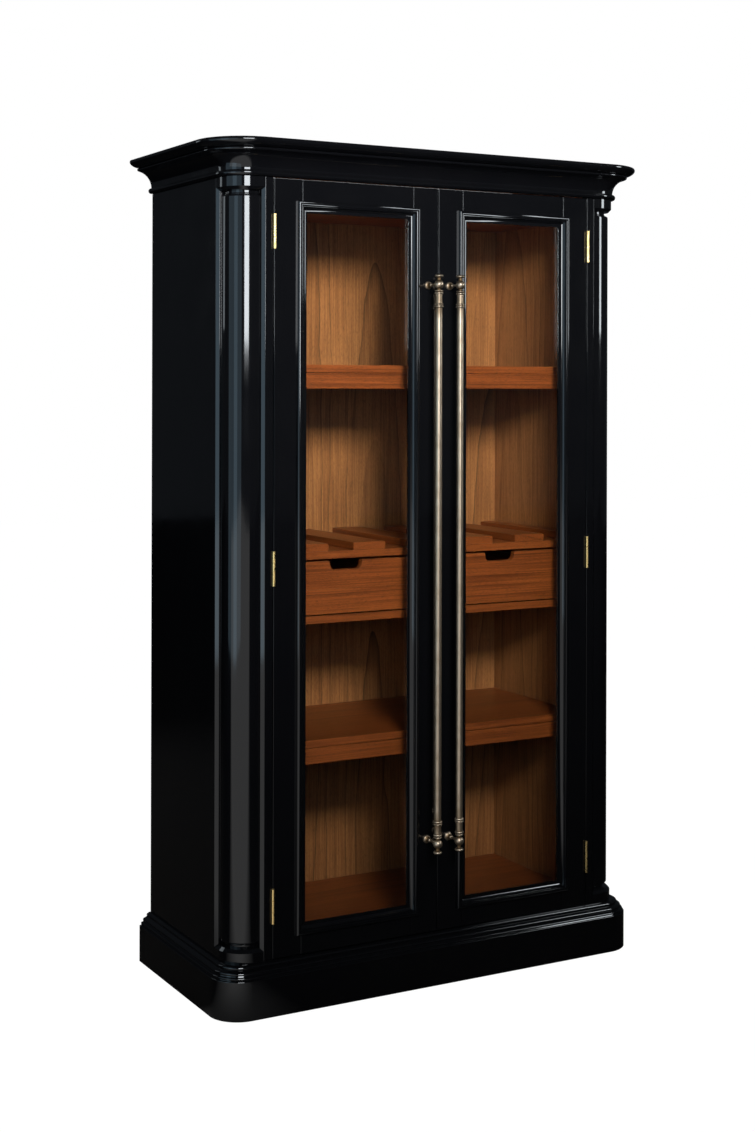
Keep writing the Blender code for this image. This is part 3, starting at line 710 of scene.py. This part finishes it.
def post_ring(side, height, radius):
    """A round post's plan: the arc that shows, and a square back."""
    axis_x = CASE_HALF - POST
    start = -90 - math.degrees(math.asin((axis_x - INNER) / radius))
    end = math.degrees(math.asin((NICHE - 0.6 * MM - POST) / radius))
    plan = arc(axis_x, FRONT + POST, radius, start, end, 40)
    plan += [(INNER + 4 * MM, FRONT + NICHE - 0.6 * MM), (INNER + 4 * MM, FRONT + REBATE)]
    return [(side * x, y, height) for x, y in plan]


def block_ring(side, height, ease):
    """A flush end's plan, standing back by the ease where it shows."""
    plan = [(INNER - CHAMFER + ease, FRONT + ease)]
    plan += arc(CASE_HALF - POST, FRONT + POST, POST - ease, -90, 0, 32)
    plan += [(CASE_HALF - ease, FRONT + NICHE + CHAMFER - 0.6 * MM - ease)]
    plan += [(CASE_HALF - CHAMFER - 0.3 * MM, FRONT + NICHE - 0.6 * MM)]
    plan += [(INNER + 4 * MM, FRONT + NICHE - 0.6 * MM), (INNER + 4 * MM, FRONT + REBATE)]
    plan += [(INNER + 0.3 * MM, FRONT + REBATE), (INNER + 0.3 * MM, FRONT + CHAMFER)]
    return [(side * x, y, height) for x, y in plan]


bury = BLOCK - CHAMFER
collar = [(51.0, 0), (51.0, 14.6), (52.2, 15.4), (52.6, 16.6), (52.2, 17.8), (51.4, 18.4), (51.4, 19.4)]
collar += arc(56.3, 24.8, 5.2, -80, 0, 8)
low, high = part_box("corner_post_left")[0].z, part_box("corner_post_left")[1].z
steps = [(radius * MM, low + bury + up * MM) for radius, up in collar]
steps += [(radius * MM, high - bury - up * MM) for radius, up in reversed(collar)]
for name, side in SIDES.items():
    parts = [dress(skin([post_ring(side, height, radius) for radius, height in steps]))]
    for end, inward in ((low, 1), (high, -1)):
        rings = [block_ring(side, end, 0), block_ring(side, end + inward * bury, 0)]
        rings.append(block_ring(side, end + inward * BLOCK, 7.7 * MM))
        parts.append(dress(skin(rings)))
    add_piece("black_corner_post_" + name, joined(*parts), LACQUER, "black_lacquer", "corner_post_" + name)

# %% [markdown]
# ## The case's boards
#
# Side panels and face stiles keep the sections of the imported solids, with rounded arrises. The
# back is a sheet of veneered plywood let in 1 mm below the rear edges of the sides, which leaves
# room for the heads of its screws.

# %% Black boards of the case
for name in SIDES:
    for part in ("side_panel_", "face_stile_"):
        add_piece("black_" + part + name, copied(part + name, 0.8 * MM), LACQUER, "black_lacquer",
                  part + name)

# %% Wooden walls, floor and ceiling
for index, name in enumerate(SIDES):
    low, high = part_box("liner_" + name)
    add_piece("walnut_wall_" + name, board(low, high, 0.31 + index), VENEER, "walnut_veneer", "liner_" + name)
low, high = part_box("back_panel")
SCREW_PROUD = 1 * MM
sheet = board(low, (high.x, high.y - SCREW_PROUD, high.z), 0.0)
add_piece("walnut_back", sheet, VENEER, "walnut_veneer", "back_panel")
floor_board = board(*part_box("floor_panel"), 4.2)
add_piece("walnut_floor", floor_board, WALNUT["X"], "walnut_solid", "floor_panel")
add_piece("walnut_ceiling", copied("ceiling_panel", seed=5.1), WALNUT["X"], "walnut_solid", "ceiling_panel")

# %% [markdown]
# ## Shelves and the drawer bay
#
# A shelf is a 20 mm board with a deeper apron glued under its front edge. The glue line is a fine
# dark seam, so the apron is its own board, set back by half a millimetre. The bay for the drawers
# is two boards, a divider and a filler at each wall.

# %% Shelves
SHELF_BOARD = 20 * MM
SEAM = 1.2 * MM
for index, name in enumerate(("upper_shelf", "lower_shelf")):
    low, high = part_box(name)
    under = high.z - SHELF_BOARD
    plank = board((low.x, low.y, under), high, 6.3 + index, 1.0 * MM)
    apron_low = (low.x, low.y + 0.6 * MM, low.z)
    apron_high = (high.x, low.y + SHELF_BOARD, under - SEAM)
    tongue = board((low.x, low.y + 4 * MM, under - SEAM), (high.x, low.y + SHELF_BOARD, under), 9.1)
    pieces = joined(plank, board(apron_low, apron_high, 8.7 + index, 1.0 * MM), tongue)
    add_piece("walnut_" + name, pieces, WALNUT["X"], "walnut_solid", name)

# %% Drawer bay
for index, name in enumerate(("drawer_board", "rack_board")):
    shelf = board(*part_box(name), 11.4 + index, 1.0 * MM)
    add_piece("walnut_" + name, shelf, WALNUT["X"], "walnut_solid", name)
add_piece("walnut_divider", board(*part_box("drawer_divider"), 13.3), WALNUT["Z"], "walnut_solid",
          "drawer_divider")
for index, name in enumerate(SIDES):
    filler = copied("drawer_filler_" + name, seed=14.6 + index)
    add_piece("walnut_filler_" + name, filler, WALNUT["Z"], "walnut_solid", "drawer_filler_" + name)

# %% [markdown]
# ## Bottle rack
#
# Seven slats lie from front to back over the drawers, so that a bottle rests between two of them.
# The two at the walls are half as wide. They repeat, so a node tree makes them: a rounded
# rectangle is carried along a line, and placed at every point of a row.

# %% The slats' node tree
RACK_TREE, given = new_tree("bottle_rack", Slat_Width="Float", Slat_Height="Float", Slat_Length="Float",
                            Arris="Float", Finish="Material")
start = node(RACK_TREE, "ShaderNodeCombineXYZ", {})
stop = node(RACK_TREE, "ShaderNodeCombineXYZ", {1: given["Slat Length"]})
line = node(RACK_TREE, "GeometryNodeCurvePrimitiveLine", {"Start": start, "End": stop})
section = node(RACK_TREE, "GeometryNodeCurvePrimitiveQuadrilateral",
               {"Width": given["Slat Width"], "Height": given["Slat Height"]})
section = node(RACK_TREE, "GeometryNodeFilletCurve", {0: section, "Radius": given["Arris"], "Count": 3},
               mode="POLY")
slat = node(RACK_TREE, "GeometryNodeCurveToMesh", {0: line, 1: section, "Fill Caps": True})
row = node(RACK_TREE, "GeometryNodeInstanceOnPoints", {"Points": given["Geometry"], "Instance": slat})
number = node(RACK_TREE, "GeometryNodeInputIndex")
row = node(RACK_TREE, "GeometryNodeStoreNamedAttribute", {0: row, "Name": "board", "Value": number},
           data_type="FLOAT", domain="INSTANCE")
end_tree(RACK_TREE, row, given["Finish"])


def slats(spots, width, height, length):
    """Slats of one width, each with the middle of its front end at one of these spots."""
    mesh = bpy.data.meshes.new("spots")
    mesh.from_pydata(spots, [], [])
    base = carry("slats", mesh)
    mesh = grown(RACK_TREE, base, Slat_Width=width, Slat_Height=height, Slat_Length=length,
                 Arris=1.5 * MM, Finish=WALNUT["Y"])
    return dress(fresh_faces(mesh))


# %% Seven slats
names = [f"bottle_slat_{number}" for number in range(1, 8)]
boxes = [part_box(name) for name in names]
low, high = boxes[1]
size = high - low
middles = [((a.x + b.x) / 2, a.y, (a.z + b.z) / 2) for a, b in boxes]
whole = slats(middles[1:-1], size.x, size.z, size.y)
half_slats = slats([middles[0], middles[-1]], boxes[0][1].x - boxes[0][0].x, size.z, size.y)
add_piece("walnut_bottle_slats", joined(whole, half_slats), WALNUT["Y"], "walnut_solid", *names)

# %% [markdown]
# ## Drawers
#
# A drawer front is solid wood with a finger notch in its top edge. The left one is glued from two
# boards of different tone. Behind it is an open box of thin boards.

# %% Drawer fronts
NOTCH_HALF = 47.5 * MM
NOTCH_DEEP = 23.5 * MM
NOTCH_ROUND = 15 * MM
LIP = 4 * MM                   # the notch's upper corners are eased


def upright(outline, start, stop):
    """Extrude an outline of (x, z) from one depth to another."""
    return skin([[(x, y, z) for x, z in outline] for y in (start, stop)])


def notched(low, high):
    """A board's outline with the finger notch in its top edge."""
    middle = (low.x + high.x) / 2
    right, floor_at = middle + NOTCH_HALF, high.z - NOTCH_DEEP
    half = arc(right + LIP, high.z - LIP, LIP, 90, 180, 5)
    half += arc(right - NOTCH_ROUND, floor_at + NOTCH_ROUND, NOTCH_ROUND, 0, -90, 10)
    other = [(2 * middle - x, z) for x, z in reversed(half)]
    return [(low.x, low.z), (high.x, low.z), (high.x, high.z)] + half + other + [(low.x, high.z)]


for name, side in SIDES.items():
    low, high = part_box("drawer_front_" + name)
    if side < 0:
        joint = low.z + 0.47 * (high.z - low.z)
        lower = board(low, (high.x, high.y, joint - 0.1 * MM), 21.7, 0.4 * MM)
        upper_low = Vector((low.x, low.y, joint + 0.1 * MM))
        upper = mark(dress(upright(notched(upper_low, high), low.y, high.y), 0.4 * MM), 22.3)
        face = joined(lower, upper)
    else:
        face = mark(dress(upright(notched(low, high), low.y, high.y), 0.6 * MM), 23.9)
    add_piece("walnut_drawer_front_" + name, face, WALNUT["X"], "walnut_solid", "drawer_front_" + name)

# %% Drawer boxes
WALL = 12 * MM
BOTTOM = 8 * MM
for index, name in enumerate(SIDES):
    low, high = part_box("drawer_box_" + name)
    slit = 0.2 * MM
    sides = [board(low, (low.x + WALL, high.y, high.z), 31.1 + index),
             board((high.x - WALL, low.y, low.z), high, 32.2 + index)]
    add_piece("walnut_drawer_sides_" + name, joined(*sides), WALNUT["Y"], "walnut_solid",
              "drawer_box_" + name)
    left, right = low.x + WALL + slit, high.x - WALL - slit
    ends = [board((left, low.y, low.z), (right, low.y + WALL, high.z), 33.3 + index),
            board((left, high.y - WALL, low.z), (right, high.y, high.z), 34.4 + index),
            board((left, low.y + WALL, low.z), (right, high.y - WALL, low.z + BOTTOM), 35.5 + index)]
    add_piece("walnut_drawer_ends_" + name, joined(*ends), WALNUT["X"], "walnut_solid",
              body="drawer_" + name)

# %% [markdown]
# ## Doors
#
# Each door is a frame of two stiles and two rails with a bolection moulding, one that stands proud
# of the frame and laps over it: a stout roll outside, a quirk, and a cove that falls to the pane.
# The moulding is mitred at its corners. A sweep node would pinch it there, because it turns the
# profile without widening it, so the four corner rings are placed one by one and skinned. A plain bead
# holds the pane from behind.

# %% Stiles and rails
for name in SIDES:
    for part in ("hinge_stile_", "meeting_stile_", "top_rail_", "bottom_rail_"):
        frame_board = board(*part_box(part + name), arris=1.0 * MM)
        add_piece("black_" + part + name, frame_board, LACQUER, "black_lacquer", part + name)


# %% Mitred mouldings round the panes
def mitred(low, high, section):
    """Skin a section of (outwards, depth) round a rectangle in the door's plane."""
    rings = []
    for sign_x, sign_z in ((-1, -1), (1, -1), (1, 1), (-1, 1)):
        x = high[0] if sign_x > 0 else low[0]
        z = high[1] if sign_z > 0 else low[1]
        rings.append([(x + sign_x * out, FRONT + back, z + sign_z * out) for out, back in section])
    return dress(skin(rings, loop=True))


PANE_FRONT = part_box("glass_pane_left")[0].y - FRONT
bolection = [(16.0, -0.3)] + arc(9.0, -5.0, 7.0, 0, -125, 16) + [(4.4, -9.2), (2.6, -9.0)]
bolection += arc(-13.0, -12.5, 15.5, 14, 88, 12)
bolection += [(-13.5, 3.0), (-13.5, PANE_FRONT / MM - 0.3), (-0.3, PANE_FRONT / MM - 0.3), (-0.3, -0.3)]
bolection = [(x * MM, y * MM) for x, y in bolection]
bead = [(-0.6, 12.4), (-0.6, 20.5), (-3.0, 20.5)]
bead += [(-3.0 + x, 12.9 + y) for x, y in arc(0, 0, 7.6, 90, 180, 7)] + [(-10.6, 12.4)]
bead = [(x * MM, y * MM) for x, y in bead]
for name in SIDES:
    left = min(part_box(part + name)[1].x for part in ("hinge_stile_", "meeting_stile_"))
    right = max(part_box(part + name)[0].x for part in ("hinge_stile_", "meeting_stile_"))
    opening = (left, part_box("bottom_rail_" + name)[1].z), (right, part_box("top_rail_" + name)[0].z)
    add_piece("black_glazing_moulding_" + name, mitred(*opening, bolection), LACQUER, "black_lacquer",
              "glazing_moulding_" + name)
    add_piece("black_glazing_bead_" + name, mitred(*opening, bead), LACQUER, "black_lacquer",
              body="door_" + name)
    pane = board(*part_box("glass_pane_" + name), arris=0.4 * MM)
    add_piece("glass_" + name, pane, GLASS, "clear_glass", "glass_pane_" + name)

# %% [markdown]
# ## Turned brass
#
# A turned piece is a line of points with a radius at each: its axis and its profile in one. The
# tree below carries a circle along such a line and scales it by the radius. The bar handles, their
# posts and the knuckles of the hinges are all made by it. A second number at each point, hollow,
# says how far it lies below the crests beside it, and the finish darkens it there.

# %% The turning tree
TURNING_TREE, given = new_tree("turning", Sides="Int", Finish="Material")
axis = node(TURNING_TREE, "GeometryNodeMeshToCurve", {0: given["Geometry"]})
radius = node(TURNING_TREE, "GeometryNodeInputNamedAttribute", {"Name": "radius"}, data_type="FLOAT")
ring = node(TURNING_TREE, "GeometryNodeCurvePrimitiveCircle", {"Resolution": given["Sides"], "Radius": 1.0})
turned_shape = node(TURNING_TREE, "GeometryNodeCurveToMesh",
                    {0: axis, 1: ring, "Scale": radius, "Fill Caps": True})
end_tree(TURNING_TREE, turned_shape, given["Finish"])


def turned(profile, start, direction, sides=28, finish=AGED_BRASS):
    """Turn a profile of (radius, distance) along a direction from a start point."""
    start, direction = Vector(start), Vector(direction)
    mesh = line_mesh("turned", [start + direction * along for radius, along in profile])
    crest = [max(r for r, a in profile if abs(a - along) < 9 * MM) for radius, along in profile]
    hollows = [min(1.0, (top - r) / (6 * MM)) for top, (r, a) in zip(crest, profile)]
    for label, values in (("radius", [r for r, a in profile]), ("hollow", hollows)):
        store = mesh.attributes.new(label, "FLOAT", "POINT")
        store.data.foreach_set("value", values)
    return dress(fresh_faces(grown(TURNING_TREE, carry("turned", mesh), Sides=sides, Finish=finish)))


# %% Bar handles
def swell(start, stop, foot, crest, steps=10):
    """A half-round swelling of a turned profile, in millimetres."""
    return [(foot + (crest - foot) * math.sin(math.pi * i / steps) ** 0.6,
             start + (stop - start) * i / steps) for i in range(steps + 1)]


INSET = 27 * MM                # from the end of the handle to the middle of its ball
handle_end = swell(0.3, 8.6, 7.0, 11.5, 8) + [(5.0, 9.4), (4.8, 12.5), (5.0, 15.6)]
handle_end += swell(16.0, 38.0, 5.6, 12.3, 14) + [(5.0, 38.4), (4.8, 40.0), (5.0, 41.4)]
handle_end += swell(41.8, 46.6, 8.0, 11.0, 6) + swell(47.0, 53.6, 9.0, 11.8, 8) + [(9.4, 54.2), (9.4, 57.0)]
handle_end += [(9.0, 58.0), (9.0, 72.0), (9.4, 73.0), (9.4, 76.4)]
handle_end += swell(76.8, 81.4, 9.8, 12.2, 6) + swell(81.8, 88.2, 9.8, 12.2, 8) + [(9.0, 88.6), (9.0, 120.0)]
post = [(10.4, 0.3), (11.0, 0.9), (11.0, 3.4), (10.4, 5.0), (8.8, 6.2), (6.6, 7.0), (5.0, 8.0), (3.9, 9.8)]
post += [(3.3, 13.0), (3.3, 18.0)] + swell(18.4, 22.0, 3.6, 5.2, 6) + [(3.3, 22.4), (3.3, 40.0)]
post += [(3.3, 44.0), (4.4, 45.6), (5.4, 46.2), (5.4, 50.0)]
handle_end = [(r * MM, a * MM) for r, a in handle_end]
post = [(r * MM, a * MM) for r, a in post]
for name, side in SIDES.items():
    low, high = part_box("handle_" + name)
    axis_x = (low.x + high.x) / 2
    axis_y = low.y + (high.x - low.x) / 2
    length = high.z - low.z
    profile = handle_end + [(r, length - a) for r, a in reversed(handle_end)]
    parts = [turned(profile, (axis_x, axis_y, low.z), (0, 0, 1), 36)]
    for height in (low.z + INSET, high.z - INSET):
        parts.append(turned(post, (axis_x, FRONT, height), (0, -1, 0), 28))
    add_piece("brass_handle_" + name, joined(*parts), AGED_BRASS, "aged_brass", "handle_" + name)

# %% [markdown]
# ## Hinges
#
# Each door hangs on three brass butt hinges. A leaf is a thin plate with its share of the knuckle:
# the outer two thirds belong to the case, the middle third to the door. The leaves lie shut in the
# gap beside the door, so their screws never show and are left out. The back panel is held by brass
# screws, and a row of them is what Geometry Nodes do well: one slotted head is placed at every
# point, each turned by chance.

# %% The screws' node tree
SCREW_TREE, given = new_tree("screw_row", Screw="Object", Facing="Vector", Seed="Int", Finish="Material")
head = node(SCREW_TREE, "GeometryNodeObjectInfo", {"Object": given["Screw"]}, out="Geometry")
spin = node(SCREW_TREE, "FunctionNodeRandomValue", {2: 0.0, 3: math.pi, "Seed": given["Seed"]}, out=1,
            data_type="FLOAT")
spin = node(SCREW_TREE, "ShaderNodeCombineXYZ", {2: spin})
face_way = node(SCREW_TREE, "FunctionNodeEulerToRotation", {0: given["Facing"]})
spin = node(SCREW_TREE, "FunctionNodeEulerToRotation", {0: spin})
way = node(SCREW_TREE, "FunctionNodeRotateRotation", {0: face_way, 1: spin}, rotation_space="LOCAL")
row = node(SCREW_TREE, "GeometryNodeInstanceOnPoints",
           {"Points": given["Geometry"], "Instance": head, "Rotation": way})
end_tree(SCREW_TREE, row, given["Finish"])


def screw_head(radius, tall, slot_half):
    """A slotted screw head that faces +Z, its foot at the origin."""
    shape = bmesh.new()
    bmesh.ops.create_cone(shape, cap_ends=True, segments=24, radius1=radius, radius2=radius * 0.9, depth=tall)
    bmesh.ops.translate(shape, vec=(0, 0, tall / 2), verts=shape.verts)
    for edge_at in (-slot_half, slot_half):
        cut = shape.verts[:] + shape.edges[:] + shape.faces[:]
        bmesh.ops.bisect_plane(shape, geom=cut, plane_co=(0, edge_at, 0), plane_no=(0, 1, 0))
    strip = [f for f in shape.faces
             if f.normal.z > 0.9 and abs(f.calc_center_median().y) < slot_half * 0.9]
    sunk = bmesh.ops.extrude_face_region(shape, geom=strip)
    bmesh.ops.delete(shape, geom=strip, context="FACES_ONLY")
    moved = [v for v in sunk["geom"] if isinstance(v, bmesh.types.BMVert)]
    bmesh.ops.translate(shape, vec=(0, 0, -tall * 0.6), verts=moved)
    return new_mesh(shape, "screw")


def screws(spots, facing, seed, finish, radius, tall, slot_half):
    """Screw heads at these spots; facing is the turn from +Z, as an Euler angle."""
    head = carry("screw", screw_head(radius, tall, slot_half))
    mesh = bpy.data.meshes.new("spots")
    mesh.from_pydata(spots, [], [])
    mesh = grown(SCREW_TREE, carry("screws", mesh), Screw=head, Facing=facing, Seed=seed, Finish=finish)
    bpy.data.objects.remove(head)
    return dress(mesh)


# %% Hinge leaves
HINGE_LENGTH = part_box("hinge_case_leaf_left_low")[1].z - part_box("hinge_case_leaf_left_low")[0].z
KNUCKLE = 4 * MM
LEAF_THICK = 0.75 * MM
LEAF_FROM, LEAF_TO = 1.4 * MM, 24.4 * MM       # behind the hinge's axis
PIVOT = {joint["child"]: Vector(joint["pos_m"]) for joint in frame["joints"] if joint["type"] == "hinge"}


def leaf(kind, name, side, level):
    """One leaf: its plate and its knuckles, as parts to join."""
    pivot = PIVOT["door_" + name]
    outward = side if kind == "case" else -side
    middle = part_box(f"hinge_case_leaf_{name}_{level}")[0].z + HINGE_LENGTH / 2
    faces = sorted((pivot.x + outward * 0.15 * MM, pivot.x + outward * (0.15 * MM + LEAF_THICK)))
    half, third = HINGE_LENGTH / 2, HINGE_LENGTH / 6
    plate_low = (faces[0], pivot.y + LEAF_FROM + 3 * MM, middle - half)
    plate_high = (faces[1], pivot.y + LEAF_TO, middle + half)
    parts = [board(plate_low, plate_high, arris=0.15 * MM)]
    spans = [(-half, -third - 0.15 * MM), (third + 0.15 * MM, half)]
    if kind == "door":
        spans = [(-third + 0.15 * MM, third - 0.15 * MM)]
    for start, stop in spans:
        tab_low = (faces[0], pivot.y + LEAF_FROM - 1 * MM, middle + start)
        tab_high = (faces[1], pivot.y + LEAF_FROM + 3.2 * MM, middle + stop)
        parts.append(board(tab_low, tab_high, arris=0.15 * MM))
        tall = stop - start
        barrel = [(3.6 * MM, 0), (KNUCKLE, 0.3 * MM), (KNUCKLE, tall - 0.3 * MM), (3.6 * MM, tall)]
        parts.append(turned(barrel, (pivot.x, pivot.y, middle + start), (0, 0, 1), 28, POLISHED_BRASS))
    return parts


for body_name, kind, names in (("case", "case", SIDES), ("door_left", "door", ("left",)),
                               ("door_right", "door", ("right",))):
    parts, nodes = [], []
    for name in names:
        for level in ("low", "mid", "top"):
            parts += leaf(kind, name, SIDES[name], level)
            nodes.append(f"hinge_{kind}_leaf_{name}_{level}")
    add_piece(f"brass_hinge_leaves_{body_name}", joined(*parts), POLISHED_BRASS, "polished_brass", *nodes)

# %% Screws of the back panel
low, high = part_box("back_panel")
EDGE_IN = 18 * MM
PITCH = 220 * MM
half = high.x - EDGE_IN
across = int(2 * half / PITCH)
upward = int((high.z - low.z - 2 * EDGE_IN) / PITCH)
spots = []
for i in range(across + 1):
    x = -half + 2 * half * i / across
    spots += [(x, high.y - SCREW_PROUD, low.z + EDGE_IN), (x, high.y - SCREW_PROUD, high.z - EDGE_IN)]
for i in range(1, upward):
    z = low.z + EDGE_IN + (high.z - low.z - 2 * EDGE_IN) * i / upward
    spots += [(-half, high.y - SCREW_PROUD, z), (half, high.y - SCREW_PROUD, z)]
back_screws = screws(spots, (-math.pi / 2, 0, 0), 7, POLISHED_BRASS, 4 * MM, 0.9 * MM, 0.5 * MM)
add_piece("brass_back_screws", back_screws, POLISHED_BRASS, "polished_brass", body="case")
